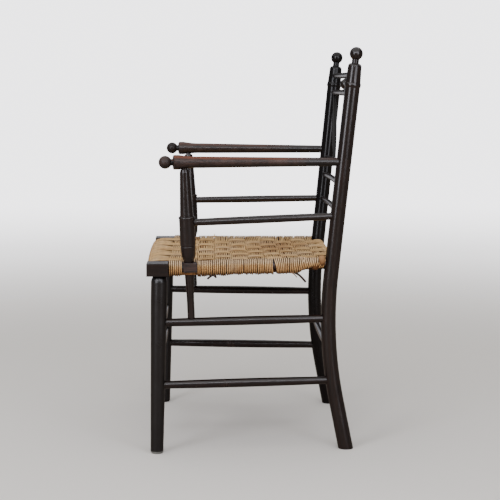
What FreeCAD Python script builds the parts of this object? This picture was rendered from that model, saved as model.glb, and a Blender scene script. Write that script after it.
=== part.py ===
import FreeCAD, Part
import math
import os

Vector = FreeCAD.Vector

# A turned and ebonised armchair with a corded seat.
# Millimetres. X runs from the sitter's right to the sitter's left, Z is up.
# Lengths named from_front are measured backwards from the front of the corner blocks.

# Fits
clearance = 0.1
socket_floor_gap = 0.4
drill_reach = 40.0
leaning_shoulder_gap = 0.5

# Bent back posts: each lies in one upright plane that is turned outwards
post_diameter = 31.6
post_knee_half_spacing = 186.0
post_knee_from_front = 373.8
post_knee_height = 236.5
post_plane_turn = 22.0
post_upper_rake = 6.25
post_lower_rake = 12.06
post_bend_radius = 855.0

# Post tops: bead, shoulder, neck and ball, each drop measured down from the ball's middle
finial_height = 836.2
finial_diameter = 27.6
finial_neck_diameter = 15.0
post_shoulder_drop = 20.0
post_shoulder_round = 6.5
post_top_diameter = 28.3
post_bead_drop = 64.0
post_bead_length = 10.0
post_bead_diameter = 34.4

# Front legs
leg_foot_half_spacing = 231.0
leg_splay = 2.5
leg_foot_from_front = 17.8
leg_top_from_front = 26.0
leg_foot_diameter = 27.2
leg_wide_diameter = 34.2
leg_wide_height = 325.0
leg_dome_length = 17.0
leg_dome_top_diameter = 22.6
leg_dome_bulge_share = 0.6
leg_dome_bulge_fullness = 0.72
leg_tenon_diameter = 18.0
leg_tenon_length = 17.0
foot_chamfer = 2.0
waste_below_floor = 20.0
waste_size = 400.0

# Corner blocks at the front of the seat
block_side = 45.3
block_bottom = 379.4
block_thickness = 27.1
block_edge_round = 1.2

# Seat rails under the cord
front_rail_diameter = 18.0
front_rail_height = 392.5
front_rail_from_front = 21.5
side_rail_diameter = 21.0
side_rail_back_diameter = 17.0
side_rail_tenon_diameter = 12.0
side_rail_front_height = 393.0
side_rail_back_height = 398.0
back_rail_diameter = 16.0
back_rail_height = 395.0
boss_length = 28.0
boss_behind_support = 2.0
boss_thickness = 19.5
boss_reach = 14.0
boss_bottom = 386.0

# Corded seat
cord_front_from_front = 1.0
cord_wrap = 5.5
cord_front_bottom = 375.5
cord_back_bottom = 382.0
cord_top = 408.0
cord_edge_round = 10.0

# Heights that differ from side to side: the old frame's left arm has sunk, its right arm stands higher
arm_front_height = {"left": 615.1, "right": 620.9}
arm_back_height = {"left": 612.5, "right": 619.9}
arm_rail_front_height = {"left": 489.6, "right": 495.4}
arm_rail_back_height = {"left": 498.5, "right": 503.2}

# Arms
arm_outside_leg = 18.5
arm_ball_from_front = 40.5
arm_ball_diameter = 27.0
arm_neck_diameter = 14.0
arm_collar_start = 16.5
arm_collar_length = 11.5
arm_collar_diameter = 30.2
arm_flare_length = 45.0
arm_flare_turn_share = 0.4
arm_flare_turn_fullness = 0.25
arm_collar_rim = 1.5
arm_grip_diameter = 23.8
arm_back_diameter = 17.4

# Arm supports: from the arm, through the seat boss, down to the upper side stretcher
support_top_from_front = 79.5
support_foot_from_front = 92.2
support_neck_diameter = 17.6
support_shoulder_diameter = 20.6
support_shoulder_drop = 21.0
support_upper_diameter = 28.2
support_bead_drop = 112.0
support_bead_length = 5.0
support_bead_bulge = 1.0
support_bead_lip = 0.6
support_belly_diameter = 32.4
support_belly_length = 56.0
support_groove_length = 3.0
support_groove_depth = 1.0
support_hip_diameter = 28.6
support_hip_above_boss = 14.0
support_waist_diameter = 20.0
support_below_diameter = 19.6
support_taper_above_stretcher = 51.0
support_foot_diameter = 15.2
support_foot_tenon_diameter = 11.0
support_tenon_diameter = 12.0
support_tenon_depth = 6.0

# Arm rails, half way between arm and seat
arm_rail_diameter = 16.2
arm_rail_end_diameter = 14.8

# Stretchers
side_stretcher_diameter = 18.8
stretcher_end_diameter = 16.2
upper_side_stretcher_height = 279.0
lower_side_stretcher_height = 146.0
upper_front_stretcher_height = 239.0
lower_front_stretcher_height = 182.0
cross_stretcher_diameter = 17.6
back_stretcher_height = 208.0

# Back rails, bowed backwards
rail_diameter = 13.2
rail_bow = 6.0
upper_crest_drop = 43.0
lower_crest_drop = 81.5
middle_rail_height = 600.0
upper_rail_height = 560.5
lower_rail_height = 503.0

# Back ornament: one ball between the crest rails and two slanting spindles below them
crest_ball_diameter = 24.0
crest_ball_neck_diameter = 8.0
spindle_diameter = 11.0
spindle_end_diameter = 7.0
spindle_top_half_spacing = 185.0
spindle_foot_half_spacing = 58.0
spindle_socket_depth = 3.4

# Socket depths
leg_socket_depth = 11.0
post_socket_depth = 8.2
support_socket_depth = 8.5
block_socket_depth = 9.0
arm_socket_depth = 7.0
end_straight = 13.0

leg_top_half_spacing = leg_foot_half_spacing + leg_splay
arm_front_half_spacing = leg_top_half_spacing + arm_outside_leg
upper_crest_height = finial_height - upper_crest_drop
lower_crest_height = finial_height - lower_crest_drop
post_radius = post_diameter / 2
upper_rake = math.radians(post_upper_rake)
lower_rake = math.radians(post_lower_rake)
plane_turn = math.radians(post_plane_turn)
bend_tangent = post_bend_radius * math.tan((upper_rake + lower_rake) / 2)


def post_place(lean, height):
    """A point in the left post's plane, lean being the way back from the knee."""
    half = post_knee_half_spacing + lean * math.sin(plane_turn)
    return Vector(half, post_knee_from_front + lean * math.cos(plane_turn), height)


bend_top_lean = bend_tangent * math.sin(upper_rake)
bend_top_height = post_knee_height + bend_tangent * math.cos(upper_rake)
bend_foot_lean = bend_tangent * math.sin(lower_rake)
bend_foot_height = post_knee_height - bend_tangent * math.cos(lower_rake)
bend_centre_lean = bend_top_lean + post_bend_radius * math.cos(upper_rake)
bend_centre_height = bend_top_height - post_bend_radius * math.sin(upper_rake)


def bend_lean(height):
    """How far back the arc of the post stands at a height."""
    rise = height - bend_centre_height
    return bend_centre_lean - math.sqrt(post_bend_radius ** 2 - rise ** 2)


def post_point(height):
    """The left post's centre at a height."""
    if height > bend_top_height:
        return post_place((height - post_knee_height) * math.tan(upper_rake), height)
    if height < bend_foot_height:
        return post_place((post_knee_height - height) * math.tan(lower_rake), height)
    return post_place(bend_lean(height), height)


leg_foot = Vector(leg_foot_half_spacing, leg_foot_from_front, 0)
leg_top = Vector(leg_top_half_spacing, leg_top_from_front, block_bottom)


def between(first, last, share):
    return first + (last - first) * share


def leg_point(height):
    """The left front leg's centre at a height."""
    return between(leg_foot, leg_top, height / block_bottom)


def leg_radius(height):
    return (leg_foot_diameter + (leg_wide_diameter - leg_foot_diameter) * height / leg_wide_height) / 2


def toward(start, target, distance):
    """The point at a distance from start, on the way to the target."""
    way = Vector(target - start)
    return start + way.normalize() * distance


def opposite(point):
    return Vector(-point.x, point.y, point.z)


def point_at_depth(first, last, from_front):
    return between(first, last, (from_front - first.y) / (last.y - first.y))


def point_at_height(first, last, height):
    return between(first, last, (height - first.z) / (last.z - first.z))


def turned(start, end, outline):
    """A turned solid: (distance, radius) pairs, and fours where an arc passes through its first pair."""
    foot = Vector(0, 0, outline[0][0])
    place = Vector(outline[0][1], 0, outline[0][0])
    edges = []
    if place.x > 0:
        edges.append(Part.LineSegment(foot, place).toShape())
    for step in outline[1:]:
        new_place = Vector(step[-1], 0, step[-2])
        if len(step) == 4:
            edges.append(Part.Arc(place, Vector(step[1], 0, step[0]), new_place).toShape())
        else:
            edges.append(Part.LineSegment(place, new_place).toShape())
        place = new_place
    head = Vector(0, 0, place.z)
    if place.x > 0:
        edges.append(Part.LineSegment(place, head).toShape())
    edges.append(Part.LineSegment(head, foot).toShape())
    solid = Part.Face(Part.Wire(edges)).revolve(Vector(0, 0, 0), Vector(0, 0, 1), 360)
    solid.Placement = FreeCAD.Placement(start, FreeCAD.Rotation(Vector(0, 0, 1), end - start))
    return solid


def swelled(start, end, end_diameter, middle_diameter):
    """A turned rod, straight in its sockets and swelling towards the middle."""
    length = (end - start).Length
    end_radius = end_diameter / 2
    swell = (length / 2, middle_diameter / 2, length - end_straight, end_radius)
    return turned(start, end, [(0, end_radius), (end_straight, end_radius), swell, (length, end_radius)])


def drill(tip, target, diameter):
    """A socket for a rod that ends at the tip and comes from the target's side."""
    bottom = toward(tip, target, -socket_floor_gap)
    return Part.makeCylinder(diameter / 2 + clearance, drill_reach, bottom, target - tip)


def bow_arc(end, bow):
    """The arc of a bowed rail from its left end to its right end."""
    return Part.Arc(end, Vector(0, end.y + bow, end.z), opposite(end))


def swept(path, diameter):
    """A round rod along a path of tangent lines and arcs."""
    wire = Part.Wire(path)
    start = path[0].valueAt(path[0].FirstParameter)
    way = path[0].tangentAt(path[0].FirstParameter)
    ring = Part.Wire(Part.Circle(start, way, diameter / 2).toShape())
    return wire.makePipeShell([ring], True, True)


def chopped(shape, height):
    """The shape above a level floor at the height."""
    half = waste_size / 2
    corner = shape.BoundBox.Center - Vector(half, half, 0)
    corner.z = height - waste_size
    return shape.cut(Part.makeBox(waste_size, waste_size, waste_size, corner))


def back_post():
    """The bent post with its bead, shoulder and ball turned from the same wood."""
    foot = post_point(-waste_below_floor)
    bend_foot = post_place(bend_foot_lean, bend_foot_height)
    bend_top = post_place(bend_top_lean, bend_top_height)
    bend_middle_height = (bend_foot_height + bend_top_height) / 2
    bend_middle = post_place(bend_lean(bend_middle_height), bend_middle_height)
    lower = Part.LineSegment(foot, bend_foot).toShape()
    bend = Part.Arc(bend_foot, bend_middle, bend_top).toShape()
    bent = chopped(swept([lower, bend], post_diameter), 0)

    def along(height):
        return (height - bend_top_height) / math.cos(upper_rake)

    ball = along(finial_height)
    ball_radius = finial_diameter / 2
    neck_radius = finial_neck_diameter / 2
    neck_meets_ball = ball - math.sqrt(ball_radius ** 2 - neck_radius ** 2)
    shoulder = along(finial_height - post_shoulder_drop)
    top_radius = post_top_diameter / 2
    bead = along(finial_height - post_bead_drop)
    bead_end = post_bead_length / 2
    slant = post_shoulder_round * (1 - math.sqrt(0.5))
    outline = [
        (0, post_radius),
        (bead - bead_end, post_radius),
        (bead, post_bead_diameter / 2, bead + bead_end, post_radius),
        (shoulder - post_shoulder_round, top_radius),
        (shoulder - slant, top_radius - slant, shoulder, top_radius - post_shoulder_round),
        (shoulder, neck_radius),
        (neck_meets_ball, neck_radius),
        (ball, ball_radius, ball + ball_radius, 0),
    ]
    return bent.fuse(turned(bend_top, post_point(finial_height), outline)).removeSplitter()


def front_leg():
    """The turned leg with a domed top and the tenon that enters its corner block."""
    length = (leg_top - leg_foot).Length
    dome_end = length - leaning_shoulder_gap
    wide = leg_wide_diameter / 2
    dome_top = leg_dome_top_diameter / 2
    dome_foot = length - leg_dome_length
    tenon = leg_tenon_diameter / 2
    bulge_at = dome_foot + leg_dome_bulge_share * leg_dome_length
    bulge = dome_top + leg_dome_bulge_fullness * (wide - dome_top)
    outline = [
        (-waste_below_floor, leg_foot_diameter / 2 - foot_chamfer),
        (0, leg_foot_diameter / 2 - foot_chamfer),
        (2 * foot_chamfer, leg_foot_diameter / 2),
        (leg_wide_height, wide),
        (dome_foot, wide),
        (bulge_at, bulge, dome_end, dome_top),
        (dome_end, tenon),
        (length + leg_tenon_length, tenon),
    ]
    return chopped(turned(leg_foot, leg_top, outline), 0)


def corner_block():
    half = block_side / 2
    corner = Vector(leg_top_half_spacing - half, 0, block_bottom)
    block = Part.makeBox(block_side, block_side, block_thickness, corner)
    block = block.makeFillet(block_edge_round, block.Edges)
    return block.cut(drill(leg_point(block_bottom + leg_tenon_length), leg_foot, leg_tenon_diameter))


# Where the two sides differ, each is worked out as if on the left


def arm_line(side):
    """The centre of an arm's ball, and where the arm ends inside the back post."""
    ball_centre = Vector(arm_front_half_spacing, arm_ball_from_front, arm_front_height[side])
    post = post_point(arm_back_height[side])
    return ball_centre, toward(post, ball_centre, post_radius - post_socket_depth)


def arm(ball_centre, tip):
    """The tapered arm with its ball, neck and collar."""
    length = (tip - ball_centre).Length
    ball = arm_ball_diameter / 2
    neck = arm_neck_diameter / 2
    collar = arm_collar_diameter / 2
    collar_end = arm_collar_start + arm_collar_length
    flare_end = collar_end + arm_flare_length
    grip = arm_grip_diameter / 2
    back = arm_back_diameter / 2
    turn_at = collar_end + arm_flare_turn_share * arm_flare_length
    turn = grip + arm_flare_turn_fullness * (collar - grip)
    outline = [
        (-ball, 0),
        (0, ball, math.sqrt(ball ** 2 - neck ** 2), neck),
        (arm_collar_start, neck),
        (arm_collar_start, collar - arm_collar_rim),
        (arm_collar_start + arm_collar_rim, collar),
        (collar_end, collar),
        (turn_at, turn, flare_end, grip),
        (length - end_straight, back),
        (length, back),
    ]
    return turned(ball_centre, tip, outline)


def side_stretcher_ends(height):
    """Where a side stretcher ends inside the front leg and inside the back post."""
    leg = leg_point(height)
    post = post_point(height)
    front = toward(leg, post, leg_radius(height) - leg_socket_depth)
    return front, toward(post, leg, post_radius - post_socket_depth)


upper_side_ends = side_stretcher_ends(upper_side_stretcher_height)
lower_side_ends = side_stretcher_ends(lower_side_stretcher_height)


def support_line(side):
    """Where an arm support's line meets the middle of its stretcher and the middle of its arm."""
    foot = point_at_depth(*upper_side_ends, support_foot_from_front)
    return foot, point_at_depth(*arm_line(side), support_top_from_front)


def support_ends(foot, head):
    """Where an arm support ends inside its stretcher and inside its arm."""
    return toward(foot, head, support_tenon_depth / 2), toward(head, foot, arm_socket_depth / 2)


def arm_support(line):
    """The long turned baluster under the arm."""
    end, top = support_ends(*line)

    def along(height):
        return (point_at_height(*line, height) - end).Length

    def below_arm(drop):
        return along(line[1].z - drop)

    foot = support_foot_diameter / 2
    below = support_below_diameter / 2
    waist = support_waist_diameter / 2
    hip = support_hip_diameter / 2
    belly = support_belly_diameter / 2
    upper = support_upper_diameter / 2
    shoulder = support_shoulder_diameter / 2
    neck = support_neck_diameter / 2
    tenon = support_tenon_diameter / 2
    foot_tenon = support_foot_tenon_diameter / 2
    foot_at = along(upper_side_stretcher_height + side_stretcher_diameter / 2)
    bead = below_arm(support_bead_drop)
    bead_foot = bead - support_bead_length
    groove = bead_foot - support_belly_length
    boss_top = boss_bottom + boss_thickness
    hip_at = along(boss_top + support_hip_above_boss)
    seat_top = along(boss_top + 2 * leaning_shoulder_gap)
    seat_foot = along(boss_bottom - 2 * leaning_shoulder_gap)
    taper = along(upper_side_stretcher_height + support_taper_above_stretcher)
    shoulder_at = below_arm(support_shoulder_drop)
    neck_at = below_arm(support_shoulder_drop - (support_shoulder_diameter - support_neck_diameter) * 2)
    outline = [
        (0, foot_tenon),
        (foot_at, foot_tenon),
        (foot_at, foot),
        (taper, foot),
        (seat_foot, below),
        (seat_foot, waist),
        (seat_top, waist),
        (hip_at, hip),
        (groove - support_groove_length, belly),
        (groove - support_groove_length / 2, belly - support_groove_depth, groove, belly),
        (bead_foot, belly),
        ((bead + bead_foot) / 2, belly + support_bead_bulge, bead, upper + support_bead_lip),
        (bead, upper),
        (shoulder_at, shoulder),
        (neck_at, neck),
        (neck_at, tenon),
        ((top - end).Length, tenon),
    ]
    return turned(end, top, outline)


def arm_rail_ends(side):
    """Where an arm rail ends inside the arm support and inside the back post."""
    front = point_at_height(*support_line(side), arm_rail_front_height[side])
    post = post_point(arm_rail_back_height[side])
    front_end = toward(front, post, support_belly_diameter / 2 - support_socket_depth)
    return front_end, toward(post, front, post_radius - post_socket_depth)


# The left side seat rail's line
side_rail_start = Vector(leg_top_half_spacing, block_side - block_socket_depth, side_rail_front_height)
side_rail_post = post_point(side_rail_back_height)
side_rail_end = toward(side_rail_post, side_rail_start, post_radius - post_socket_depth)


def side_seat_rail(support_foot, support_head):
    """The side rail with the square boss that the arm support passes through."""
    length = (side_rail_end - side_rail_start).Length
    tenon = side_rail_tenon_diameter / 2
    front = side_rail_diameter / 2
    back = side_rail_back_diameter / 2
    shoulder = block_socket_depth + 3 * leaning_shoulder_gap
    outline = [
        (0, tenon),
        (shoulder, tenon),
        (shoulder, front),
        (length - 3 * end_straight, back),
        (length - end_straight, tenon),
        (length, tenon),
    ]
    rail = turned(side_rail_start, side_rail_end, outline)
    centre = point_at_height(support_foot, support_head, boss_bottom + boss_thickness / 2)
    on_rail = point_at_depth(side_rail_start, side_rail_end, centre.y)
    inner = min(on_rail.x, centre.x - boss_reach)
    width = centre.x + boss_reach - inner
    boss = Part.makeBox(width, boss_length, boss_thickness, Vector(inner, -boss_length / 2, boss_bottom))
    boss = boss.makeFillet(block_edge_round, boss.Edges)
    boss.translate(Vector(0, centre.y + boss_behind_support, 0))
    run = side_rail_end - side_rail_start
    boss.rotate(centre, Vector(0, 0, 1), math.degrees(math.atan2(-run.x, run.y)))
    hole = Part.makeCylinder(support_waist_diameter / 2 + clearance, 2 * drill_reach,
                             toward(centre, support_foot, drill_reach), support_head - support_foot)
    return rail.fuse(boss).removeSplitter().cut(hole)


def cross_ends(middle, radius, depth):
    """The two ends of a level rod between a left-hand piece and its twin."""
    left = toward(middle, opposite(middle), radius - depth)
    return left, opposite(left)


def bowed_rail(height):
    """A back rail bowed backwards between the posts, with its left end."""
    post = post_point(height)
    end = toward(post, opposite(post), post_radius - post_socket_depth)
    return swept([bow_arc(end, rail_bow).toShape()], rail_diameter), end


def rail_middle(half, height):
    """The middle of a bowed rail at a distance from the chair's centre line."""
    end = bowed_rail(height)[1]
    return Vector(half, end.y + rail_bow * (1 - (half / end.x) ** 2), height)


def corded_seat(around):
    """The cord wrapped over the seat rails, as one slab that leaves room for the wood."""
    side = side_rail_diameter / 2 + cord_wrap
    back = side_rail_post.y + back_rail_diameter / 2 + cord_wrap
    half = leg_top_half_spacing + side
    front_corner = Vector(half, cord_front_from_front, cord_front_bottom)
    back_half = side_rail_post.x + side_rail_back_diameter / 2 + cord_wrap / 2
    back_corner = Vector(back_half, back, cord_front_bottom)
    corners = [front_corner, back_corner, opposite(back_corner), opposite(front_corner), front_corner]
    slab = Part.Face(Part.makePolygon(corners)).extrude(Vector(0, 0, cord_top - cord_front_bottom))
    under = [
        Vector(-half, cord_front_from_front, cord_front_bottom),
        Vector(-half, back, cord_front_bottom),
        Vector(-half, back, cord_back_bottom),
        Vector(-half, cord_front_from_front, cord_front_bottom),
    ]
    slab = slab.cut(Part.Face(Part.makePolygon(under)).extrude(Vector(2 * half, 0, 0)))
    lying_edges = [edge for edge in slab.Edges if edge.BoundBox.ZLength < cord_edge_round]
    slab = slab.makeFillet(cord_edge_round, lying_edges)
    for shape in around:
        slab = slab.cut(shape)
    return max(slab.Solids, key=lambda solid: solid.Volume)


pieces = {}


def mirrored(shape):
    return shape.mirror(Vector(0, 0, 0), Vector(1, 0, 0))


def cut_by_all(shape, tools):
    for tool in tools:
        shape = shape.cut(tool)
    return shape


# Cross pieces between the two sides
front_stretchers = {
    "upper_front_stretcher": upper_front_stretcher_height,
    "lower_front_stretcher": lower_front_stretcher_height,
}
leg_drills = [drill(ends[0], ends[1], stretcher_end_diameter) for ends in (upper_side_ends, lower_side_ends)]
for name, height in front_stretchers.items():
    ends = cross_ends(leg_point(height), leg_radius(height), leg_socket_depth)
    pieces[name] = swelled(*ends, stretcher_end_diameter, cross_stretcher_diameter)
    leg_drills.append(drill(*ends, stretcher_end_diameter))

post_drills = [drill(ends[1], ends[0], stretcher_end_diameter) for ends in (upper_side_ends, lower_side_ends)]
back_stretcher_ends = cross_ends(post_point(back_stretcher_height), post_radius, post_socket_depth)
pieces["back_stretcher"] = swelled(*back_stretcher_ends, stretcher_end_diameter, cross_stretcher_diameter)
post_drills.append(drill(*back_stretcher_ends, stretcher_end_diameter))

back_seat_rail_ends = cross_ends(post_point(back_rail_height), post_radius, post_socket_depth)
pieces["back_seat_rail"] = swelled(*back_seat_rail_ends, side_rail_tenon_diameter, back_rail_diameter)
post_drills.append(drill(*back_seat_rail_ends, side_rail_tenon_diameter))
post_drills.append(drill(side_rail_end, side_rail_start, side_rail_tenon_diameter))

rail_heights = {
    "upper_crest_rail": upper_crest_height,
    "lower_crest_rail": lower_crest_height,
    "middle_back_rail": middle_rail_height,
    "upper_back_rail": upper_rail_height,
    "lower_back_rail": lower_rail_height,
}
for name, height in rail_heights.items():
    pieces[name], rail_end = bowed_rail(height)
    post_drills.append(drill(rail_end, rail_middle(rail_end.x - drill_reach, height), rail_diameter))

# The ball between the crest rails
ball_top = rail_middle(0, upper_crest_height)
ball_foot = rail_middle(0, lower_crest_height)
ball_gap = (ball_top - ball_foot).Length
ball_neck = crest_ball_neck_diameter / 2
ball_reach = math.sqrt((crest_ball_diameter / 2) ** 2 - ball_neck ** 2)
ball_start = rail_diameter / 2 - spindle_socket_depth
ball_outline = [
    (ball_start, ball_neck),
    (ball_gap / 2 - ball_reach, ball_neck),
    (ball_gap / 2, crest_ball_diameter / 2, ball_gap / 2 + ball_reach, ball_neck),
    (ball_gap - ball_start, ball_neck),
]
pieces["crest_ball"] = turned(ball_foot, ball_top, ball_outline)
ball_runs = {"upper_crest_rail": (ball_top, ball_foot), "lower_crest_rail": (ball_foot, ball_top)}
for rail, (start, target) in ball_runs.items():
    tip = toward(start, target, ball_start)
    pieces[rail] = pieces[rail].cut(drill(tip, target, crest_ball_neck_diameter))

# The slanting spindles
spindle_head = rail_middle(spindle_top_half_spacing, lower_crest_height)
spindle_foot = rail_middle(spindle_foot_half_spacing, middle_rail_height)
spindle_ends = (
    toward(spindle_head, spindle_foot, rail_diameter / 2 - spindle_socket_depth),
    toward(spindle_foot, spindle_head, rail_diameter / 2 - spindle_socket_depth),
)
pieces["left_back_spindle"] = swelled(*spindle_ends, spindle_end_diameter, spindle_diameter)
pieces["right_back_spindle"] = mirrored(pieces["left_back_spindle"])
spindle_drills = (
    ("lower_crest_rail", drill(spindle_ends[0], spindle_ends[1], spindle_end_diameter)),
    ("middle_back_rail", drill(spindle_ends[1], spindle_ends[0], spindle_end_diameter)),
)
for rail, tool in spindle_drills:
    pieces[rail] = cut_by_all(pieces[rail], (tool, mirrored(tool)))

# The two sides
front_rail_middle = Vector(leg_top_half_spacing, front_rail_from_front, front_rail_height)
front_rail_ends = cross_ends(front_rail_middle, block_side / 2, block_socket_depth)
pieces["front_seat_rail"] = swelled(*front_rail_ends, front_rail_diameter, front_rail_diameter + clearance)
block_drills = (
    drill(side_rail_start, side_rail_end, side_rail_tenon_diameter),
    drill(*front_rail_ends, front_rail_diameter),
)


def chair_side(side):
    """The wooden pieces of one side, with their sockets."""
    arm_front, arm_tip = arm_line(side)
    support = support_line(side)
    support_end, support_top = support_ends(*support)
    rail_front, rail_back = arm_rail_ends(side)
    upper_stretcher = swelled(*upper_side_ends, stretcher_end_diameter, side_stretcher_diameter)
    support_foot_drill = drill(support_end, support[1], support_foot_tenon_diameter)
    arm_drills = [
        drill(arm_tip, arm_front, arm_back_diameter),
        drill(rail_back, rail_front, arm_rail_end_diameter),
    ]
    return {
        "upper_side_stretcher": upper_stretcher.cut(support_foot_drill),
        "lower_side_stretcher": swelled(*lower_side_ends, stretcher_end_diameter, side_stretcher_diameter),
        "arm_support": arm_support(support).cut(drill(rail_front, rail_back, arm_rail_end_diameter)),
        "arm": arm(arm_front, arm_tip).cut(drill(support_top, support[0], support_tenon_diameter)),
        "arm_rail": swelled(rail_front, rail_back, arm_rail_end_diameter, arm_rail_diameter),
        "front_leg": cut_by_all(front_leg(), leg_drills),
        "back_post": cut_by_all(back_post(), post_drills + arm_drills),
        "corner_block": cut_by_all(corner_block(), block_drills),
        "side_seat_rail": side_seat_rail(*support),
    }


for name, shape in chair_side("left").items():
    pieces["left_" + name] = shape
for name, shape in chair_side("right").items():
    pieces["right_" + name] = mirrored(shape)

wood_in_seat = ("corner_block", "side_seat_rail", "arm_support", "front_leg", "back_post")
around_seat = [pieces[side + name] for side in ("left_", "right_") for name in wood_in_seat]
around_seat += [pieces["front_seat_rail"], pieces["back_seat_rail"]]
pieces["corded_seat"] = corded_seat(around_seat)

os.makedirs("parts", exist_ok=True)
finial_back = post_point(finial_height).y + finial_diameter / 2
crest_ball_back = between(ball_foot, ball_top, 0.5).y + crest_ball_diameter / 2
to_origin = Vector(0, -max(finial_back, crest_ball_back) / 2, 0)
for name, shape in pieces.items():
    shape.translate(to_origin)
    shape.exportStep("parts/" + name + ".step")
    print(name, len(shape.Solids), shape.isValid(), round(shape.Volume))
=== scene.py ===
import math
import random

import bpy
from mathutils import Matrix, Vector


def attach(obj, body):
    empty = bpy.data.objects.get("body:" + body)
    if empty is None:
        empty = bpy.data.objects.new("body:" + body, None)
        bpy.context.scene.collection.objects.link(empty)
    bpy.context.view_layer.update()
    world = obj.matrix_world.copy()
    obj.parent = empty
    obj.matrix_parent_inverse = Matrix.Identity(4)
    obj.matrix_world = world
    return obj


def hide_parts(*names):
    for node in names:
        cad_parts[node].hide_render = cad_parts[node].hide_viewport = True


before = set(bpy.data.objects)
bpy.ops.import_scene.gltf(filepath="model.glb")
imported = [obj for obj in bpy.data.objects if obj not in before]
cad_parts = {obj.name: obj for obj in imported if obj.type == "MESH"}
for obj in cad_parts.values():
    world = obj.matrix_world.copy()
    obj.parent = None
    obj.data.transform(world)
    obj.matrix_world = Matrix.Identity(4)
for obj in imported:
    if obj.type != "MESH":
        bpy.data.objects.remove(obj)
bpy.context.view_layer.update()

bl_info = {
    "name": "Turned Armchair",
    "version": (1, 0, 0),
    "blender": (4, 5, 0),
    "location": "View3D > Sidebar > Armchair",
    "description": "Finishes a black turned armchair and weaves its cord seat",
    "category": "Object",
}

# Metres. +X is the sitter's left, the chair faces -Y.
AXIS_X, AXIS_Y, AXIS_Z = 0, 1, 2

# Endings of the wooden nodes' names, by finish and by the way the grain runs
THINLY_POLISHED = ("right_back_post", "back_spindle")
UPRIGHT = ("back_post", "arm_support", "crest_ball")
FORE_AND_AFT = ("arm_rail", "side_stretcher", "corner_block")
CROSSWISE = ("front_stretcher", "back_stretcher", "crest_rail", "back_rail")

# Depths along an arm: the middle of its neck, the step across the neck from ball to collar, and where the
# handled part fades out
ARM_NECK = -0.1697
ACROSS_NECK = (-0.173, -0.165)
HANDLED_FADES = (0.03, 0.12)

# Heights on the scuffed foot up to which its rim is fully grey, and at which the grey ends
SCUFFED_HEIGHT = (0.0035, 0.0055)

# The frame that the cord goes round, as in the part's own sizes
FRONT_RAIL = {"y": -0.2027, "z": 0.3925, "radius": 0.009}
BACK_RAIL = {"y": 0.1660, "z": 0.395, "radius": 0.008}
SIDE_RAIL_FRONT = {"x": 0.2335, "y": -0.1879, "z": 0.393, "radius": 0.0105}
SIDE_RAIL_BACK = {"x": 0.1926, "y": 0.1660, "z": 0.398, "radius": 0.0085}
BOSS_INNER_FACE = 0.2186

# Heights of the weave on top of the front and back rails, and of the cords under the seat
WEAVE_FRONT = 0.4035
WEAVE_BACK = 0.4048
CROSSWISE_UNDER = 0.3785
LENGTHWISE_UNDER = 0.3835

# The length of one turn of cord round the seat, and of one turn of the cord's own twist
CROSSWISE_TURN = 0.95
LENGTHWISE_TURN = 0.78
TWIST_TURN = 0.011

# Where the rows of crosswise cord meet, front to back, and the row that ends at the bosses
ROW_EDGES = (-0.1782, -0.1508, -0.1193, -0.083, -0.047, -0.010, 0.026, 0.062, 0.098, 0.134, 0.150)
BOSS_ROW = 1

# The worn places of the left side: where the cords have parted, and where the two rolls at the back begin
PARTED_AT = 0.0415
ROLLS_FROM = 0.122
SECOND_ROLL_FROM = 0.134

# How much higher the wraps lie in the first row, and on the right side
FIRST_ROW_RISE = 0.0015
RIGHT_SIDE_RISE = 0.0014

# How far a cord goes round the rails: half of its arc at the sides and the back, and its arc in front
SIDE_ARC = math.radians(112)
BACK_ARC = math.radians(105)
FRONT_ARC = (math.radians(75), math.radians(285))

# How far the cords hang below the side rails, by depth
SLACK = (
    (-0.180, 0.0025), (-0.150, 0.0025), (-0.110, 0.0045), (-0.030, 0.0034), (0.020, 0.0045),
    (0.060, 0.0055), (0.092, 0.0058), (0.104, 0.0010), (0.112, -0.0022), (0.122, -0.0062), (0.160, -0.0062),
)

# Heights where a change of the cord's colour starts and ends: dust, the orange flanks, the painted shade
# under the rails
DUSTY = (0.3985, 0.4035)
ORANGE = (0.404, 0.393)
UNDERSIDE_SHADE = (0.388, 0.378)

# The place that a sitter has darkened: its middle and how far it reaches
SAT_ON_MIDDLE = (-0.045, 0.056, 0.404)
SAT_ON_REACH = (0.105, 0.058, 0.1)


def linear(colour):
    """An sRGB hex colour as linear red, green, blue and alpha."""
    channels = [int(colour[start:start + 2], 16) / 255 for start in (1, 3, 5)]
    return tuple(c / 12.92 if c <= 0.04045 else ((c + 0.055) / 1.055) ** 2.4 for c in channels) + (1.0,)


def colour_property(name, description, colour):
    """A colour to change in the panel, from its sRGB hex value."""
    return bpy.props.FloatVectorProperty(
        name=name, description=description, subtype="COLOR", size=4, default=linear(colour), min=0, max=1)


class ArmchairWood(bpy.types.PropertyGroup):
    """The ebonised frame."""
    stain: colour_property("Stain", "Colour of the black stain", "#100d0d")
    rubbed: colour_property("Rubbed wood", "Brown that shows where the stain is rubbed", "#38241c")
    handled: colour_property("Handled wood", "Paler brown of the arms and the seat bosses", "#5f463c")
    worn: colour_property(
        "Worn wood", "Red brown on top of the arms, where the stain is worn away", "#65331b")
    scuffed: colour_property("Scuffed foot", "Grey of a foot's rim that was dragged over floors", "#8f918a")
    grain_width: bpy.props.FloatProperty(
        name="Grain width", description="Width of one streak of grain", default=0.0022, unit="LENGTH")
    grain_length: bpy.props.FloatProperty(
        name="Grain length", description="Length of one streak of grain", default=0.09, unit="LENGTH")


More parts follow.
